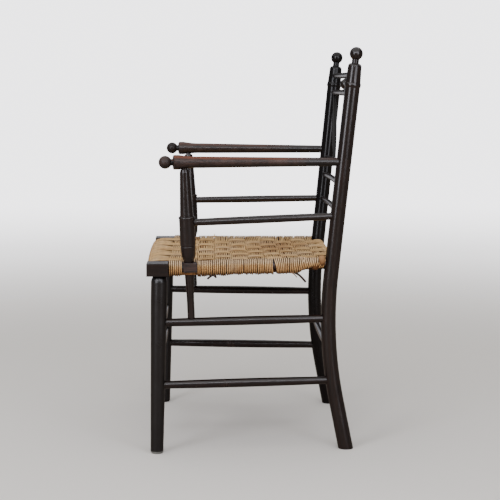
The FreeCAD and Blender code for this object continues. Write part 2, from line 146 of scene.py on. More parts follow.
class ArmchairSeat(bpy.types.PropertyGroup):
    """The woven cord seat."""
    cord_diameter: bpy.props.FloatProperty(
        name="Cord diameter", description="Thickness of the twisted cord", default=0.0038, unit="LENGTH")
    cord_pitch: bpy.props.FloatProperty(
        name="Cord pitch", description="From one cord to the next", default=0.0041, unit="LENGTH")
    column_fill: bpy.props.FloatProperty(
        name="Column fill", description="How much of its width a column's cords take up",
        default=0.9, min=0.5, max=1)
    columns: bpy.props.IntProperty(
        name="Columns", description="Bands of fore-and-aft cord across the seat", default=9)
    cords_per_column: bpy.props.IntProperty(
        name="Cords in a column", description="Cords that go over and under together", default=11)
    front_half_width: bpy.props.FloatProperty(
        name="Half width at the front", description="Reach of the outermost cord on the front rail",
        default=0.2075, unit="LENGTH")
    back_half_width: bpy.props.FloatProperty(
        name="Half width at the back", description="Reach of the outermost cord on the back rail",
        default=0.1745, unit="LENGTH")
    sag: bpy.props.FloatProperty(
        name="Sag", description="How far the middle of the seat hangs", default=0.003, unit="LENGTH")
    straw: colour_property("Straw", "Colour of clean cord", "#fbcf90")
    shade: colour_property("Aged cord", "Colour of darkened cord", "#b08154")
    grey: colour_property("Worn cord", "Colour of cord that is worn and dusty", "#dec09c")
    flank: colour_property("Flanks", "Colour of the cord on the outside of the rails", "#d3965a")
    # Painted shade on the cord below the rails
    underside: colour_property("Underside", "Colour of the cord below the rails", "#47240c")
    # Painted shade in the grooves between one cord and the next, and where a cord goes down between others
    groove_shade_colour: colour_property("Grooves", "Colour of the dirt between one cord and the next", "#281608")
    # Painted shade: the hanging ends are drawn wholly in this dark colour, as shade under the seat
    hanging: colour_property(
        "Hanging ends", "Colour of the broken ends that hang below the seat", "#2c1c14")


class ArmchairStage(bpy.types.PropertyGroup):
    """Floor, light and camera."""
    floor: colour_property("Floor", "Colour of the plain floor", "#e4dfd8")
    floor_bounce: colour_property(
        "Floor bounce", "Colour of the light that the floor throws back on the chair", "#877b70")
    surround: colour_property("Surround", "Colour of the soft light all round", "#f2f1f4")
    surround_light: bpy.props.FloatProperty(
        name="Surround light", description="Strength of the light that the surround gives",
        default=0.16, min=0)
    backdrop_light: bpy.props.FloatProperty(
        name="Backdrop", description="How bright the surround looks behind the chair", default=3.8, min=0)
    clear_floor: bpy.props.FloatProperty(
        name="Clear floor", description="How far out the floor is plain, before it fades into the backdrop",
        default=1.0, unit="LENGTH")
    faded_floor: bpy.props.FloatProperty(
        name="Faded floor", description="How far out the floor has become the backdrop",
        default=6.0, unit="LENGTH")
    camera_place: bpy.props.FloatVectorProperty(
        name="Camera", description="Where the camera stands", subtype="TRANSLATION",
        default=(2.953, -0.0903, 0.771), unit="LENGTH")
    camera_yaw: bpy.props.FloatProperty(
        name="Yaw", description="Turn of the camera to its right",
        default=math.radians(1.7), subtype="ANGLE")
    camera_pitch: bpy.props.FloatProperty(
        name="Pitch", description="How far the camera looks down",
        default=math.radians(7.11), subtype="ANGLE")
    camera_lens: bpy.props.FloatProperty(
        name="Lens", description="Focal length on a 36 mm sensor", default=94.98, subtype="DISTANCE_CAMERA")


def add_node(tree, kind, settings=None, links=None):
    """Adds one shader node, with its settings and with links into its inputs."""
    node = tree.nodes.new("ShaderNode" + kind)
    for name, value in (settings or {}).items():
        if isinstance(name, int) or name in node.inputs:
            node.inputs[name].default_value = value
        else:
            setattr(node, name, value)
    for name, socket in (links or {}).items():
        tree.links.new(socket, node.inputs[name])
    return node


def new_material(name):
    """An empty material with its output node."""
    material = bpy.data.materials.new(name)
    material.use_nodes = True
    tree = material.node_tree
    tree.nodes.clear()
    return material, tree, add_node(tree, "OutputMaterial")


def arm_wear(tree, place, patches, use):
    """How much of an arm's brown shows, less on its underside and neck as painted shade, how dull it is, and
    where its stain is worn through.
    """
    depth = add_node(tree, "SeparateXYZ", None, {0: place}).outputs["Y"]
    normal = add_node(tree, "NewGeometry").outputs["Normal"]
    facing = add_node(tree, "SeparateXYZ", None, {0: normal}).outputs["Z"]
    # All but the last part of an arm is handled, and its underside keeps more of the black, as painted shade
    front = add_node(tree, "MapRange",
                     {"From Min": HANDLED_FADES[1], "From Max": HANDLED_FADES[0], "To Min": 0.15},
                     {"Value": depth}).outputs["Result"]
    outside = add_node(tree, "MapRange", {"From Min": -0.75, "From Max": -0.1, "To Min": 0.2},
                       {"Value": facing}).outputs["Result"]
    handled = add_node(tree, "Math", {"operation": "MULTIPLY"},
                       {0: front, 1: outside}).outputs["Value"]
    # The ball is the dullest, and keeps more of its stain than what is behind it
    behind = add_node(tree, "MapRange", {"From Min": ACROSS_NECK[0], "From Max": ACROSS_NECK[1]},
                      {"Value": depth}).outputs["Result"]
    dullest = add_node(tree, "MapRange", {"To Min": 0.9, "To Max": use},
                       {"Value": behind}).outputs["Result"]
    dulled = add_node(tree, "Math", {"operation": "MULTIPLY"},
                      {0: handled, 1: dullest}).outputs["Value"]
    ball = add_node(tree, "MapRange", {"To Min": 0.5}, {"Value": behind}).outputs["Result"]
    brown = add_node(tree, "Math", {"operation": "MULTIPLY"},
                     {0: handled, 1: ball}).outputs["Value"]
    # The neck, about 5 mm long, shows no brown: the stain that stays in the recess, and painted shade there
    from_neck = add_node(tree, "Math", {"operation": "SUBTRACT", 1: ARM_NECK},
                         {0: depth}).outputs["Value"]
    from_neck = add_node(tree, "Math", {"operation": "ABSOLUTE"}, {0: from_neck}).outputs["Value"]
    past_neck = add_node(tree, "MapRange", {"From Min": 0.0025, "From Max": 0.0045},
                         {"Value": from_neck}).outputs["Result"]
    brown = add_node(tree, "Math", {"operation": "MULTIPLY"},
                     {0: brown, 1: past_neck}).outputs["Value"]
    # Only the top is worn through, in a ragged band behind the neck
    ragged = add_node(tree, "Math", {"operation": "MULTIPLY_ADD", 1: 0.5},
                      {0: patches, 2: facing}).outputs["Value"]
    top = add_node(tree, "MapRange", {"From Min": 0.70, "From Max": 0.94, "To Max": use},
                   {"Value": ragged}).outputs["Result"]
    top = add_node(tree, "Math", {"operation": "MULTIPLY"}, {0: top, 1: behind}).outputs["Value"]
    top = add_node(tree, "Math", {"operation": "MULTIPLY"}, {0: top, 1: front}).outputs["Value"]
    return brown, dulled, top


# Ebonised beech, turned and polished: nearly black with a brown cast, satin to glossy, the grain just
# visible as streaks along the piece, browner where hands have rubbed it, darker on the arms' undersides as
# painted shade and black in their necks, where stain stays and painted shade falls, worn to red brown on top
# of the arms, and scuffed to grey on the rim of one foot. Rubbed places are about 45 mm across.
def ebonised_beech(name, wood, along, rub, polish, brown, gloss=0.5, arm_use=0.0, scuffed_foot=False):
    material, tree, output = new_material(name)
    streak = [1 / wood.grain_width] * 3
    streak[along] = 1 / wood.grain_length
    place = add_node(tree, "TexCoord").outputs["Object"]
    stretched = add_node(tree, "Mapping", {"Scale": streak}, {"Vector": place}).outputs["Vector"]
    grain = add_node(tree, "TexNoise", {"Scale": 1.0, "Detail": 3.0, "Roughness": 0.6},
                     {"Vector": stretched}).outputs["Fac"]
    patches = add_node(tree, "TexNoise", {"Scale": 1 / 0.045, "Detail": 4.0, "Roughness": 0.65},
                       {"Vector": place}).outputs["Fac"]
    wear = add_node(tree, "MapRange",
                    {"From Min": 0.62 - 0.4 * rub, "From Max": 0.9 - 0.3 * rub},
                    {"Value": patches}).outputs["Result"]
    streaks = add_node(tree, "MapRange",
                       {"From Min": 0.35, "From Max": 0.75, "To Max": 0.45 + 0.4 * rub},
                       {"Value": grain}).outputs["Result"]
    bare = add_node(tree, "Math", {"operation": "MAXIMUM"},
                    {0: wear, 1: streaks}).outputs["Value"]
    smooth = 0.46 - 0.36 * polish
    rough = add_node(tree, "MapRange",
                     {"From Min": 0.3, "From Max": 0.7, "To Min": smooth, "To Max": smooth + 0.12},
                     {"Value": patches}).outputs["Result"]
    shader = add_node(tree, "BsdfPrincipled", {"IOR": 1.55, "Specular IOR Level": gloss})
    if arm_use:
        shown, dulled, top = arm_wear(tree, place, patches, arm_use)
        bare = add_node(tree, "Math", {"operation": "MULTIPLY"},
                        {0: bare, 1: shown}).outputs["Value"]
        rough = add_node(tree, "Math", {"operation": "MULTIPLY_ADD", 1: 0.22},
                         {0: dulled, 2: rough}).outputs["Value"]
        worn_gloss = add_node(tree, "MapRange", {"To Min": gloss, "To Max": gloss - 0.22},
                              {"Value": dulled}).outputs["Result"]
        tree.links.new(worn_gloss, shader.inputs["Specular IOR Level"])
    colour = add_node(tree, "Mix", {"data_type": "RGBA", 6: tuple(wood.stain), 7: tuple(brown)},
                      {0: bare}).outputs[2]
    if arm_use:
        colour = add_node(tree, "Mix", {"data_type": "RGBA", 7: tuple(wood.worn)},
                          {0: top, 6: colour}).outputs[2]
    if scuffed_foot:
        height = add_node(tree, "SeparateXYZ", None, {0: place}).outputs["Z"]
        rim = add_node(tree, "MapRange",
                       {"From Min": SCUFFED_HEIGHT[1], "From Max": SCUFFED_HEIGHT[0], "To Max": 0.8},
                       {"Value": height}).outputs["Result"]
        colour = add_node(tree, "Mix", {"data_type": "RGBA", 7: tuple(wood.scuffed)},
                          {0: rim, 6: colour}).outputs[2]
    bump = add_node(tree, "Bump", {"Strength": 0.03, "Distance": 0.0001},
                    {"Height": grain}).outputs["Normal"]
    tree.links.new(colour, shader.inputs["Base Color"])
    tree.links.new(rough, shader.inputs["Roughness"])
    tree.links.new(bump, shader.inputs["Normal"])
    tree.links.new(shader.outputs["BSDF"], output.inputs["Surface"])
    return material


# Bare beech: the hidden seat rails, pale brown with streaks 80 mm long and 2 mm wide.
def bare_beech():
    material, tree, output = new_material("bare_beech")
    place = add_node(tree, "TexCoord").outputs["Object"]
    stretched = add_node(tree, "Mapping", {"Scale": (1 / 0.08, 1 / 0.002, 1 / 0.002)},
                         {"Vector": place}).outputs["Vector"]
    grain = add_node(tree, "TexNoise", {"Scale": 1.0, "Detail": 3.0},
                     {"Vector": stretched}).outputs["Fac"]
    colour = add_node(tree, "Mix",
                      {"data_type": "RGBA", 6: linear("#6d4f35"), 7: linear("#9a7a58")},
                      {0: grain}).outputs[2]
    shader = add_node(tree, "BsdfPrincipled", {"Roughness": 0.6}, {"Base Color": colour})
    tree.links.new(shader.outputs["BSDF"], output.inputs["Surface"])
    return material


def cord_tones(tree, seat, place, along, age):
    """Straw to brown: each cord differs from its neighbours, and changes over about 70 mm of its length."""
    tone_size = [1 / (2.2 * seat.cord_pitch)] * 3
    tone_size[along] = 1 / 0.07
    stretched = add_node(tree, "Mapping", {"Scale": tone_size},
                         {"Vector": place}).outputs["Vector"]
    tone = add_node(tree, "TexNoise", {"Scale": 1.0, "Detail": 3.0, "Roughness": 0.6},
                    {"Vector": stretched}).outputs["Fac"]
    aged = add_node(tree, "MapRange",
                    {"From Min": 0.4, "From Max": 0.68, "To Min": age, "To Max": 0.9},
                    {"Value": tone}).outputs["Result"]
    return add_node(tree, "Mix",
                    {"data_type": "RGBA", 6: tuple(seat.straw), 7: tuple(seat.shade)}, {0: aged}).outputs[2]


def cord_dust(tree, seat, place, axes, age):
    """How dusty the cord is: in patches about 60 mm across, and on the upper edge of the side rails."""
    patches = add_node(tree, "TexNoise", {"Scale": 1 / 0.06, "Detail": 3.0},
                       {"Vector": place}).outputs["Fac"]
    dust = add_node(tree, "MapRange",
                    {"From Min": 0.48, "From Max": 0.75, "To Max": 0.6 * (1 - age)},
                    {"Value": patches}).outputs["Result"]
    outward = add_node(tree, "Math", {"operation": "ABSOLUTE"}, {0: axes["X"]}).outputs["Value"]
    taper = (seat.front_half_width - seat.back_half_width) / (BACK_RAIL["y"] - FRONT_RAIL["y"])
    outward = add_node(tree, "Math", {"operation": "MULTIPLY_ADD", 1: taper},
                       {0: axes["Y"], 2: outward}).outputs["Value"]
    edge = seat.front_half_width + taper * FRONT_RAIL["y"]
    rim = add_node(tree, "MapRange", {"From Min": edge - 0.004, "From Max": edge + 0.006},
                   {"Value": outward}).outputs["Result"]
    upper = add_node(tree, "MapRange",
                     {"From Min": DUSTY[0], "From Max": DUSTY[1], "To Max": 0.75 * (1 - age)},
                     {"Value": axes["Z"]}).outputs["Result"]
    rim = add_node(tree, "Math", {"operation": "MULTIPLY"}, {0: rim, 1: upper}).outputs["Value"]
    return add_node(tree, "Math", {"operation": "MAXIMUM"}, {0: dust, 1: rim}).outputs["Value"]


def sat_on_cord(tree, seat, place, colour):
    """The colour, darkened where a sitter has worn the middle of the seat, towards the back."""
    centred = add_node(tree, "Mapping",
                       {"vector_type": "TEXTURE", "Location": SAT_ON_MIDDLE, "Scale": SAT_ON_REACH},
                       {"Vector": place}).outputs["Vector"]
    out = add_node(tree, "VectorMath", {"operation": "LENGTH"}, {0: centred}).outputs["Value"]
    worn = add_node(tree, "MapRange", {"From Min": 1.2, "From Max": 0.3, "To Max": 0.6},
                    {"Value": out}).outputs["Result"]
    return add_node(tree, "Mix", {"data_type": "RGBA", 7: tuple(seat.shade)},
                    {0: worn, 6: colour}).outputs[2]


def shade_grooves(tree, seat, colour, beside, groove_shade_strength):
    """The colour, with painted shade on sides that face the next cord and where a cord goes down between
    others.
    """
    normal = add_node(tree, "NewGeometry").outputs["Normal"]
    facing = add_node(tree, "SeparateXYZ", None, {0: normal}).outputs[beside]
    facing = add_node(tree, "Math", {"operation": "ABSOLUTE"}, {0: facing}).outputs["Value"]
    groove_shade = add_node(tree, "MapRange", {"From Min": 0.2, "From Max": 0.8, "To Max": groove_shade_strength},
                    {"Value": facing}).outputs["Result"]
    dip = add_node(tree, "Attribute", {"attribute_name": "dip"}).outputs["Fac"]
    groove_shade = add_node(tree, "Math", {"operation": "MAXIMUM"}, {0: groove_shade, 1: dip}).outputs["Value"]
    return add_node(tree, "Mix", {"data_type": "RGBA", 7: tuple(seat.groove_shade_colour)},
                    {0: groove_shade, 6: colour}).outputs[2]


def twist_bump(tree, length):
    """The ridges of a three-ply cord of a length, wound round it."""
    uv = add_node(tree, "TexCoord").outputs["UV"]
    run = add_node(tree, "SeparateXYZ", None, {0: uv})
    turns = add_node(tree, "Math",
                     {"operation": "MULTIPLY", 1: length / TWIST_TURN * 2 * math.pi},
                     {0: run.outputs["X"]}).outputs["Value"]
    phase = add_node(tree, "Math", {"operation": "MULTIPLY_ADD", 1: 3 * 2 * math.pi},
                     {0: run.outputs["Y"], 2: turns}).outputs["Value"]
    ply = add_node(tree, "Math", {"operation": "SINE"}, {0: phase}).outputs["Value"]
    return add_node(tree, "Bump", {"Strength": 0.5, "Distance": 0.0006},
                    {"Height": ply}).outputs["Normal"]


# Twisted seagrass cord: dry fibre with no gloss, straw to brown from cord to cord, more orange below the
# edge of the seat, with painted shade under the rails and in the grooves between cords, dusty where the
# edges are worn. The twist is 11 mm a turn, as on the real cord. Beside is the axis along which a woven
# cord's neighbours lie.
def seagrass_cord(name, seat, along, length, beside=None, age=0.0, dark=UNDERSIDE_SHADE, underside_shade_strength=0.85, groove_shade_strength=0.95,
                  deep=None):
    material, tree, output = new_material(name)
    place = add_node(tree, "TexCoord").outputs["Object"]
    axes = add_node(tree, "SeparateXYZ", None, {0: place}).outputs
    colour = cord_tones(tree, seat, place, along, age)
    flank = add_node(tree, "MapRange",
                     {"From Min": ORANGE[0], "From Max": ORANGE[1], "To Max": 0.6},
                     {"Value": axes["Z"]}).outputs["Result"]
    colour = add_node(tree, "Mix", {"data_type": "RGBA", 7: tuple(seat.flank)},
                      {0: flank, 6: colour}).outputs[2]
    colour = add_node(tree, "Mix", {"data_type": "RGBA", 7: tuple(seat.grey)},
                      {0: cord_dust(tree, seat, place, axes, age), 6: colour}).outputs[2]
    # Painted shade under the rails: darker towards the bottom, in the underside colour unless a deep colour
    # is given
    low = add_node(tree, "MapRange",
                   {"From Min": dark[0], "From Max": dark[1], "To Max": underside_shade_strength},
                   {"Value": axes["Z"]}).outputs["Result"]
    colour = add_node(tree, "Mix", {"data_type": "RGBA", 7: tuple(deep or seat.underside)},
                      {0: low, 6: colour}).outputs[2]
    if beside is not None:
        colour = sat_on_cord(tree, seat, place, colour)
        colour = shade_grooves(tree, seat, colour, beside, groove_shade_strength)
    shader = add_node(tree, "BsdfPrincipled", {"Roughness": 0.82, "Specular IOR Level": 0.2},
                      {"Base Color": colour, "Normal": twist_bump(tree, length)})
    tree.links.new(shader.outputs["BSDF"], output.inputs["Surface"])
    return material


def between(first, last, share):
    """The value at a share of the way from the first to the last."""
    return first + (last - first) * share


def side_rail(y):
    """Centre and radius of the left side rail at a depth."""
    share = (y - SIDE_RAIL_FRONT["y"]) / (SIDE_RAIL_BACK["y"] - SIDE_RAIL_FRONT["y"])
    return [between(SIDE_RAIL_FRONT[name], SIDE_RAIL_BACK[name], share) for name in ("x", "z", "radius")]


def seat_width(seat, y):
    """Half the width of the fore-and-aft cords at a depth."""
    share = (y - FRONT_RAIL["y"]) / (BACK_RAIL["y"] - FRONT_RAIL["y"])
    return between(seat.front_half_width, seat.back_half_width, share)


def seat_level(seat, x, y):
    """Height of the middle of the weave."""
    share = (y - FRONT_RAIL["y"]) / (BACK_RAIL["y"] - FRONT_RAIL["y"])
    across = x / seat_width(seat, y)
    hang = seat.sag * max(0, 1 - across ** 2) * 4 * share * (1 - share)
    return between(WEAVE_FRONT, WEAVE_BACK, share) - hang


def slack_at(y):
    """How far the cords hang below a side rail at a depth."""
    for (front, first), (back, last) in zip(SLACK, SLACK[1:]):
        if y <= back:
            return between(first, last, (y - front) / (back - front))
    return SLACK[-1][1]


def wander(x, y):
    """How far a row has moved from its place as it crosses the seat: at most 2.2 mm, in waves of 190 mm."""
    phase = 2.4 * math.sin(y / 0.043)
    return 0.0022 * math.sin(2 * math.pi * x / 0.19 + phase) * math.cos(y / 0.061)


def round_rail(centre, reach, start, end, steps=6):
    """Points round a rail, so that the smooth line through them has that reach sideways and upwards."""
    turn = (end - start) / steps
    wide, high = (part / math.cos(turn / 2) for part in reach)
    angles = [start + turn * (step + 0.5) for step in range(steps)]
    return [(centre[0] + wide * math.cos(a), centre[1] + high * math.sin(a)) for a in angles]


def bunched(chance, places, tightest):
    """The same places, drawn together in bunches with slight gaps between them."""
    moved = []
    while len(moved) < len(places):
        bunch = places[len(moved):len(moved) + chance.randint(3, 7)]
        middle = sum(bunch) / len(bunch)
        tight = chance.uniform(tightest, 1.0)
        lean = chance.uniform(-0.0003, 0.0003)
        moved += [middle + tight * (place - middle) + lean for place in bunch]
    return moved


def mark_dips(piece, seat):
    """Notes on the weave's own points how deep they lie between the cords that are on top, as the strength of
    their painted shade.
    """
    cord = seat.cord_diameter / 2
    dips = []
    for point in piece.data.vertices:
        x, y, z = point.co
        above = (z - seat_level(seat, x, y)) / cord
        woven = ROW_EDGES[0] < y < ROW_EDGES[-1] and abs(x) < seat_width(seat, y) and above > -3
        # Unshaded from 1.3 of a cord's radius above the middle of the weave, in the deepest painted shade
        # from 0.3 down
        dips.append(0.85 * min(1.0, max(0.0, 1.3 - above)) if woven else 0.0)
    piece.data.attributes.new("dip", "FLOAT", "POINT").data.foreach_set("value", dips)


def cord_piece(name, runs, diameter, material, closed=False):
    """Makes one mesh of smooth round cords from the points that each run follows."""
    bpy.ops.object.select_all(action="DESELECT")
    bpy.ops.curve.primitive_nurbs_path_add()
    path = bpy.context.object
    path.name = name
    curve = path.data
    curve.splines.clear()
    curve.dimensions = "3D"
    curve.bevel_depth = diameter / 2
    curve.bevel_resolution = 1
    curve.use_fill_caps = not closed
    for run in runs:
        spline = curve.splines.new("NURBS")
        spline.points.add(len(run) - 1)
        for point, place in zip(spline.points, run):
            point.co = (*place, 1.0)
        spline.order_u = 3
        spline.use_cyclic_u = closed
        spline.use_endpoint_u = not closed
        spline.resolution_u = 2
        spline.use_smooth = True
    bpy.ops.object.convert(target="MESH")
    piece = bpy.context.object
    piece.data.name = name
    piece.data.materials.clear()
    piece.data.materials.append(material)
    bpy.ops.object.shade_smooth()
    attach(piece, "root")
    return piece


class ARMCHAIR_OT_ebonise_frame(bpy.types.Operator):
    """Gives every wooden piece its ebonised finish, with the grain along the piece"""
    bl_idname = "armchair.ebonise_frame"
    bl_label = "Ebonise the frame"

    def execute(self, context):
        finishes = self.finishes(context.scene.armchair_wood)
        for name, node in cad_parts.items():
            if name == "corded_seat":
                continue
            found = [finish for ends, finish in finishes if name.endswith(ends)]
            if not found:
                raise ValueError(f"{name} has no finish")
            node.data.materials.clear()
            node.data.materials.append(found[0])
        return {"FINISHED"}

    def finishes(self, wood):
        """Endings of node names, each with its finish. The first that fits a name holds."""
        scuffed_leg = ebonised_beech("ebonised_beech_scuffed_leg", wood, AXIS_Z, rub=0.05, polish=0.55,
                                     brown=wood.stain, scuffed_foot=True)
        leg = ebonised_beech("ebonised_beech_leg", wood, AXIS_Z, rub=0.05, polish=0.55, brown=wood.stain)
        thin = ebonised_beech("ebonised_beech_thin_polish", wood, AXIS_Z, rub=0.12, polish=0.84,
                              brown=wood.stain, gloss=0.26)
        upright = ebonised_beech("ebonised_beech_upright", wood, AXIS_Z, rub=0.12, polish=0.84,
                                 brown=wood.rubbed)
        fore_and_aft = ebonised_beech("ebonised_beech_fore_and_aft", wood, AXIS_Y, rub=0.15, polish=0.82,
                                      brown=wood.rubbed)
        crosswise = ebonised_beech("ebonised_beech_crosswise", wood, AXIS_X, rub=0.12, polish=0.84,
                                   brown=wood.rubbed)
        left_arm = ebonised_beech("ebonised_beech_worn_left_arm", wood, AXIS_Y, rub=0.62, polish=0.75,
                                  brown=wood.handled, arm_use=0.9)
        right_arm = ebonised_beech("ebonised_beech_worn_right_arm", wood, AXIS_Y, rub=0.15, polish=0.9,
                                   brown=wood.handled, gloss=0.45, arm_use=0.3)
        boss = ebonised_beech("ebonised_beech_handled", wood, AXIS_Y, rub=0.6, polish=0.4,
                              brown=wood.handled)
        return [
            (("left_front_leg",), scuffed_leg),
            (("front_leg",), leg),
            (THINLY_POLISHED, thin),
            (UPRIGHT, upright),
            (FORE_AND_AFT, fore_and_aft),
            (CROSSWISE, crosswise),
            (("left_arm",), left_arm),
            (("right_arm",), right_arm),
            (("side_seat_rail",), boss),
            (("seat_rail",), bare_beech()),
        ]


class ARMCHAIR_OT_lay_crosswise_cords(bpy.types.Operator):
    """Winds the cords that run from side rail to side rail, over and under the columns"""
    bl_idname = "armchair.lay_crosswise_cords"
    bl_label = "Lay the crosswise cords"

    def execute(self, context):
        seat = context.scene.armchair_seat
        cord = seat.cord_diameter / 2
        chance = random.Random(7)
        rows, places = [], []
        for row, (front, back) in enumerate(zip(ROW_EDGES, ROW_EDGES[1:])):
            count = round((back - front) / seat.cord_pitch)
            rows += [row] * count
            places += [between(front, back, (number + 0.5) / count) for number in range(count)]
        left = bunched(chance, places, 0.94)
        right = bunched(chance, places, 0.9)
        middle = bunched(chance, places, 0.86)
        puffs = [[chance.uniform(0.9, 1.25) for column in range(seat.columns)] for row in ROW_EDGES]
        runs = []
        for row, y, in_middle, on_left, on_right in zip(rows, places, middle, left, right):
            under = [(x, y, CROSSWISE_UNDER) for x in (-0.12, 0.0, 0.12)]
            runs.append(self.over(seat, cord, chance, row, in_middle, puffs[row])
                        + self.side(cord, chance, row, on_right, -1)
                        + under
                        + self.side(cord, chance, row, on_left, 1)[::-1])
        material = seagrass_cord("seagrass_cord_crosswise", seat, AXIS_X, CROSSWISE_TURN, beside=AXIS_Y)
        piece = cord_piece("crosswise_cords", runs, seat.cord_diameter, material, closed=True)
        mark_dips(piece, seat)
        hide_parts("corded_seat")
        return {"FINISHED"}

    def parting(self, y):
        """How far a wrap has moved away from the worn place: 3.8 mm beside it, fading over some 10 mm."""
        off = y - PARTED_AT
        return math.copysign(0.0038 * math.exp(-abs(off) / 0.010), off)

    def over(self, seat, cord, chance, row, y, puffs):
        """The points over the seat from left to right."""
        points = []
        width = seat_width(seat, y)
        for column in range(seat.columns):
            lift = -cord if (column + row) % 2 == 0 else cord
            for share, swell in ((0.1, 0.95), (0.5, puffs[column]), (0.9, 0.95)):
                x = width * (1 - 2 * (column + share) / seat.columns)
                shift = wander(x, y) + chance.uniform(-0.0004, 0.0004)
                points.append((x, y + shift,
                               seat_level(seat, x, y) + lift * swell + chance.uniform(-0.0002, 0.0002)))
        return points

    def side(self, cord, chance, row, y, sign):
        """The points round one side rail, from the top to the underside."""
        parting = self.parting(y) if sign > 0 else 0.0
        y += parting
        x, z, radius = side_rail(y)
        ring = radius + cord + chance.uniform(0, 0.0006)
        slack = slack_at(y) + chance.uniform(-0.0012, 0.0010)
        wide = ring
        if row == 0:
            z += FIRST_ROW_RISE
        if row == BOSS_ROW:
            wide = 0.6 * ring
            x = BOSS_INNER_FACE - cord - wide
        if sign < 0:
            z += RIGHT_SIDE_RISE
        elif y > SECOND_ROLL_FROM:
            # Hidden inside the second roll
            wide = ring = radius - cord
            slack = 0.0
        points = round_rail((x, z), (wide, ring + 0.0010), SIDE_ARC, -SIDE_ARC)
        # Each point's height, from -1 on top of the rail to 1 below it
        heights = [(z - pz) / ring for px, pz in points]
        lean = self.lean(y)
        return [(sign * px, y + lean * low - 0.75 * parting * max(0, -low), pz - slack * max(0, low))
                for (px, pz), low in zip(points, heights)]

    def lean(self, y):
        """How far a wrap's foot lies behind its middle at the worn place, and in front of it further back."""
        backwards = 0.0022 * math.exp(-((y - PARTED_AT) / 0.022) ** 2)
        forwards = 0.0024 / (1 + math.exp((0.078 - y) / 0.008))
        return backwards - forwards


class ARMCHAIR_OT_lay_lengthwise_cords(bpy.types.Operator):
    """Winds the cords that run from front rail to back rail, over and under the rows"""
    bl_idname = "armchair.lay_lengthwise_cords"
    bl_label = "Lay the lengthwise cords"

    def execute(self, context):
        seat = context.scene.armchair_seat
        cord = seat.cord_diameter / 2
        chance = random.Random(11)
        count = seat.cords_per_column
        runs = []
        for column in range(seat.columns):
            puffs = [chance.uniform(0.9, 1.25) for row in ROW_EDGES]
            places = [(number + 0.5) / count - 0.5 for number in range(count)]
            for place in bunched(chance, places, 0.8):
                share = 1 - 2 * (column + 0.5 + seat.column_fill * place) / seat.columns
                runs.append(self.turn(seat, cord, chance, column, share, puffs))
        material = seagrass_cord("seagrass_cord_lengthwise", seat, AXIS_Y, LENGTHWISE_TURN, beside=AXIS_X,
                                 groove_shade_strength=0.8)
        piece = cord_piece("lengthwise_cords", runs, seat.cord_diameter, material, closed=True)
        mark_dips(piece, seat)
        return {"FINISHED"}

    def turn(self, seat, cord, chance, column, share, puffs):
        """One turn: over the seat, round the back rail, forwards under the seat, round the front rail."""
        top = []
        for row, (front, back) in enumerate(zip(ROW_EDGES, ROW_EDGES[1:])):
            lift = cord if (column + row) % 2 == 0 else -cord
            for part, swell in ((0.08, 0.95), (0.5, puffs[row]), (0.92, 0.95)):
                y = between(front, back, part)
                x = share * seat_width(seat, y)
                top.append((x + chance.uniform(-0.0004, 0.0004), y + wander(x, y),
                            seat_level(seat, x, y) + lift * swell + chance.uniform(-0.0002, 0.0002)))
        back_x = share * seat.back_half_width
        front_x = share * seat.front_half_width
        ring = BACK_RAIL["radius"] + cord + chance.uniform(0, 0.0004)
        back_centre = (BACK_RAIL["y"], BACK_RAIL["z"])
        rear = round_rail(back_centre, (ring, ring), BACK_ARC, -BACK_ARC)
        # The front rail has an earlier layer of cord under this one, so the turns stand further out there,
        # most of all right of the middle
        bulge = 0.0067 - 0.0030 * share - 0.0035 * share ** 2
        wide = FRONT_RAIL["radius"] + 5 * cord + bulge + chance.uniform(0, 0.0006)
        high = FRONT_RAIL["radius"] + 2 * cord
        front_centre = (FRONT_RAIL["y"], FRONT_RAIL["z"])
        fore = round_rail(front_centre, (wide, high), *FRONT_ARC)
        under = []
        for part in (0.3, 0.7):
            y = between(BACK_RAIL["y"], FRONT_RAIL["y"], part)
            under.append((between(back_x, front_x, part), y, LENGTHWISE_UNDER))
        return top + [(back_x, y, z) for y, z in rear] + under + [(front_x, y, z) for y, z in fore[::-1]]


class ARMCHAIR_OT_wind_corner_rolls(bpy.types.Operator):
    """Winds the thick rolls of cord that fill each side rail's end beside the back post"""
    bl_idname = "armchair.wind_corner_rolls"
    bl_label = "Wind the corner rolls"

    def execute(self, context):
        seat = context.scene.armchair_seat
        # The rolls are painted darker towards their bottoms, as painted shade
        material = seagrass_cord("seagrass_cord_rolls", seat, AXIS_Z, length=0.07, age=0.9,
                                 dark=(0.428, 0.393))
        # Number, how far behind where they begin, how far inwards, and how far up on the left and the right.
        # The first on the left lies under the last wraps
        rolls = ((1, 0.0075, 0.0015, -0.0020, -0.0035), (2, 0.0215, -0.0005, 0.0055, -0.0035))
        for sign, side in ((1, "left"), (-1, "right")):
            for number, behind, inward, left_rise, right_rise in rolls:
                y = ROLLS_FROM + behind
                x, z, radius = side_rail(y)
                rise = left_rise if sign > 0 else right_rise
                bpy.ops.object.select_all(action="DESELECT")
                bpy.ops.mesh.primitive_torus_add(
                    location=(sign * (x - inward), y, z + rise), rotation=(math.radians(90), 0, 0),
                    major_segments=28, minor_segments=14, major_radius=radius - 0.0018, minor_radius=0.0050)
                bpy.ops.transform.resize(value=(1.0, 1.38, 1.0), orient_type="GLOBAL")
                bpy.ops.object.transform_apply(location=True, rotation=True, scale=True)
                bpy.ops.object.shade_smooth()
                roll = context.object
                roll.name = f"{side}_corner_roll_{number}"
                roll.data.name = roll.name
                roll.data.materials.append(material)
                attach(roll, "root")
        return {"FINISHED"}


